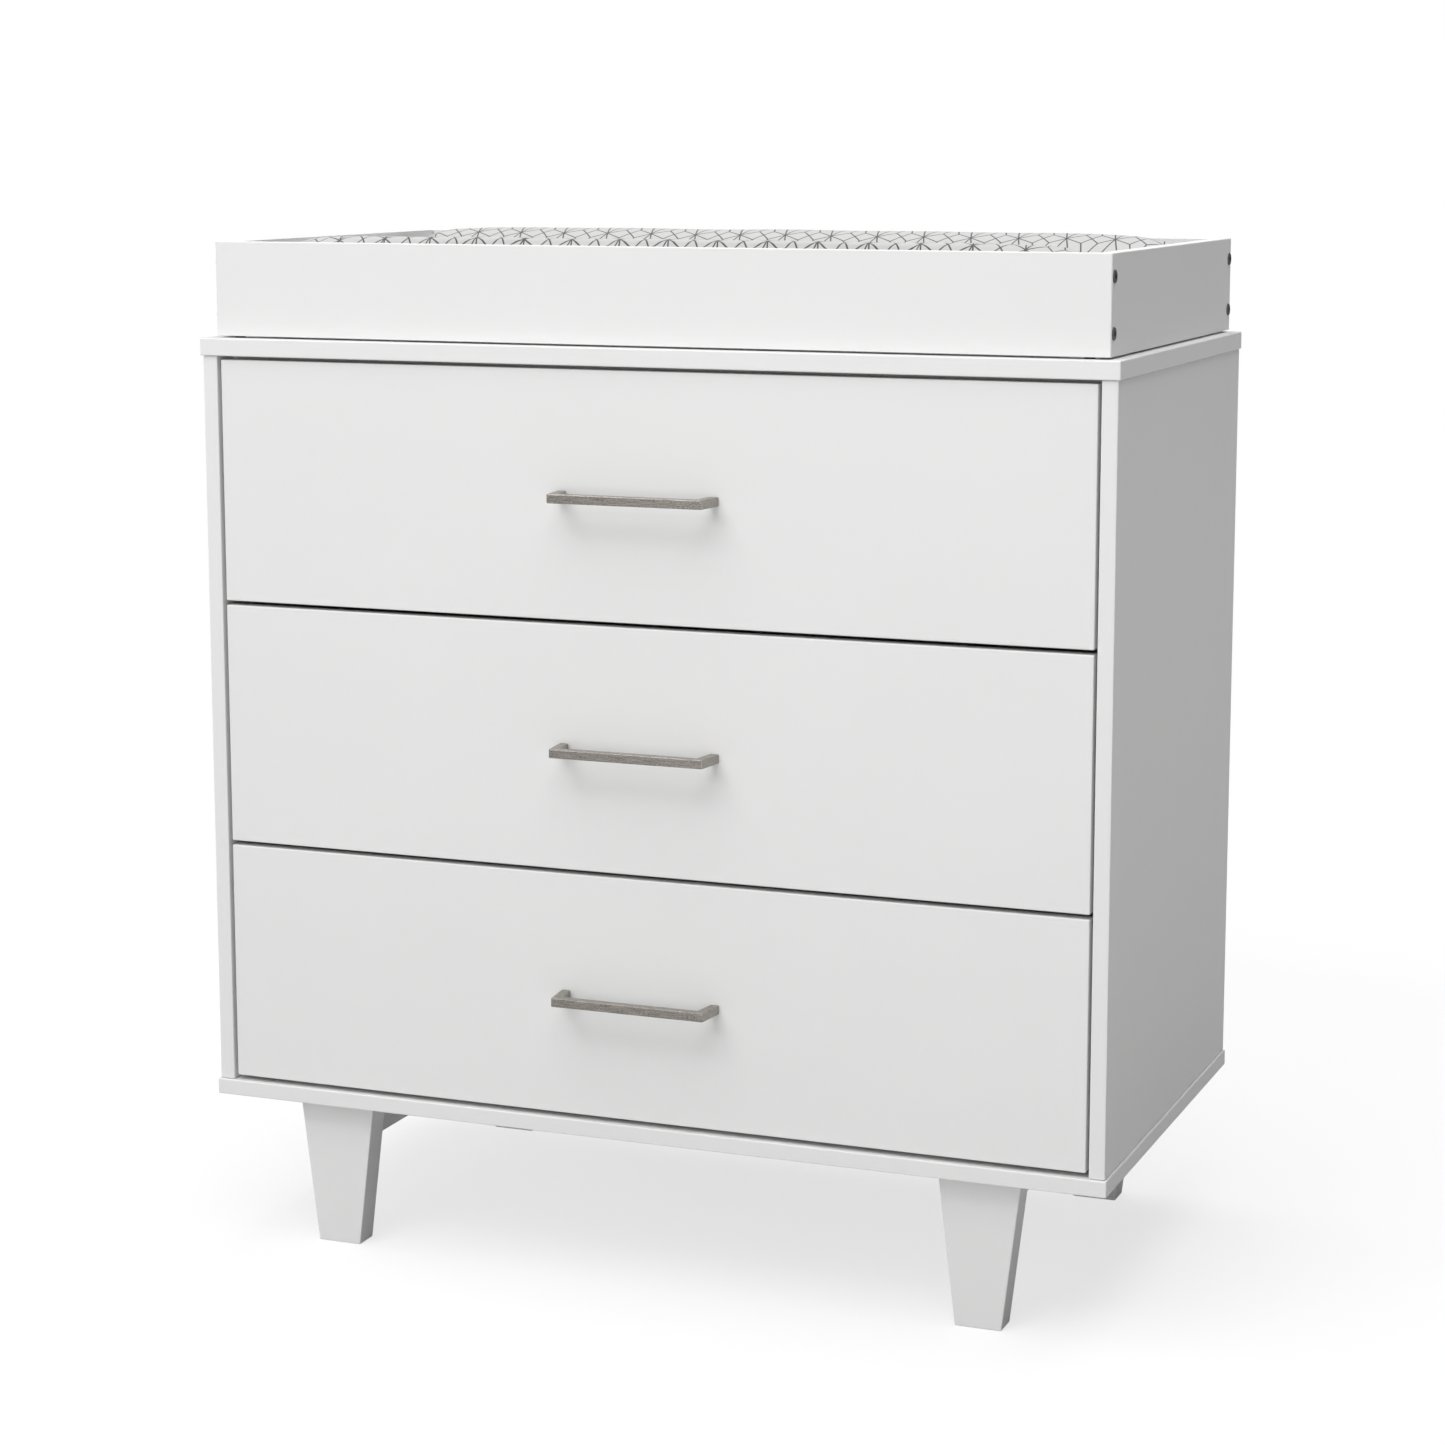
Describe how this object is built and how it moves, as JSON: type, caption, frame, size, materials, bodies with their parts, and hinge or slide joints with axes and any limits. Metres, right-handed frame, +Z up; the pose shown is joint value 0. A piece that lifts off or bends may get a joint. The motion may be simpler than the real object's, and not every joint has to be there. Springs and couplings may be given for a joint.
{
  "type": "changing table",
  "caption": "Changing table: a white dresser on tapered legs with wide drawers, and an open tray on its top that holds a contoured changing pad.",
  "frame": {"origin": "on the floor, at the middle of the table's width and of its depth from the handle fronts to the back of the boards", "axes": "+X along the front to the right as seen by someone facing the drawers, +Y from the drawer fronts to the back, +Z up"},
  "size_m": [0.9, 0.4894, 0.9798],
  "materials": {
    "white_paint": "satin white paint on smooth board, edges eased",
    "drawer_white": "plain white painted board inside the drawers and the cabinet",
    "white_hardboard": "thin hardboard with a matt white face",
    "brushed_nickel": "brushed nickel, grain along the bar",
    "zinc_steel": "bright zinc-plated rolled steel",
    "dark_steel": "dark burnished steel",
    "dark_rubber": "matt dark rubber",
    "printed_cotton": "woven cotton cover, pale grey with a thin dark line print"
  },
  "bodies": {
    "cabinet": {"top_board": "white_paint", "base_board": "white_paint", "side_panel_left": "white_paint", "side_panel_right": "white_paint", "back_panel": "white_hardboard", "front_rail": "drawer_white", "rear_rail": "drawer_white", "leg_front_left": "white_paint", "leg_front_right": "white_paint", "leg_rear_left": "white_paint", "leg_rear_right": "white_paint", "leg_rail_left": "white_paint", "leg_rail_right": "white_paint", "cabinet_slide_1_left": "zinc_steel", "cabinet_slide_1_right": "zinc_steel", "cabinet_slide_2_left": "zinc_steel", "cabinet_slide_2_right": "zinc_steel", "cabinet_slide_3_left": "zinc_steel", "cabinet_slide_3_right": "zinc_steel"},
    "drawer_1": {"drawer_front_1": "white_paint", "drawer_side_1_left": "drawer_white", "drawer_side_1_right": "drawer_white", "drawer_back_1": "drawer_white", "drawer_bottom_1": "white_hardboard", "drawer_slide_1_left": "zinc_steel", "drawer_slide_1_right": "zinc_steel", "handle_1": "brushed_nickel"},
    "drawer_2": {"drawer_front_2": "white_paint", "drawer_side_2_left": "drawer_white", "drawer_side_2_right": "drawer_white", "drawer_back_2": "drawer_white", "drawer_bottom_2": "white_hardboard", "drawer_slide_2_left": "zinc_steel", "drawer_slide_2_right": "zinc_steel", "handle_2": "brushed_nickel"},
    "drawer_3": {"drawer_front_3": "white_paint", "drawer_side_3_left": "drawer_white", "drawer_side_3_right": "drawer_white", "drawer_back_3": "drawer_white", "drawer_bottom_3": "white_hardboard", "drawer_slide_3_left": "zinc_steel", "drawer_slide_3_right": "zinc_steel", "handle_3": "brushed_nickel"},
    "tray": {"tray_front": "white_paint", "tray_rear": "white_paint", "tray_side_left": "white_paint", "tray_side_right": "white_paint", "tray_bolt_front_left_lower": "dark_steel", "tray_bolt_front_left_upper": "dark_steel", "tray_bolt_front_right_lower": "dark_steel", "tray_bolt_front_right_upper": "dark_steel", "tray_bolt_rear_left_lower": "dark_steel", "tray_bolt_rear_left_upper": "dark_steel", "tray_bolt_rear_right_lower": "dark_steel", "tray_bolt_rear_right_upper": "dark_steel", "tray_glide_front_left": "dark_rubber", "tray_glide_front_right": "dark_rubber", "tray_glide_rear_left": "dark_rubber", "tray_glide_rear_right": "dark_rubber"},
    "pad": {"changing_pad": "printed_cotton"}
  },
  "joints": [
    {"name": "drawer_1_slide", "type": "slide", "parent": "cabinet", "child": "drawer_1", "axis": [0, -1, 0], "range_m": [0, 0.3]},
    {"name": "drawer_2_slide", "type": "slide", "parent": "cabinet", "child": "drawer_2", "axis": [0, -1, 0], "range_m": [0, 0.3]},
    {"name": "drawer_3_slide", "type": "slide", "parent": "cabinet", "child": "drawer_3", "axis": [0, -1, 0], "range_m": [0, 0.3]},
    {"name": "tray_lift", "type": "slide", "parent": "cabinet", "child": "tray", "axis": [0, 0, 1], "range_m": [0, 0.12]},
    {"name": "pad_lift", "type": "slide", "parent": "cabinet", "child": "pad", "axis": [0, 0, 1], "range_m": [0, 0.12]}
  ]
}
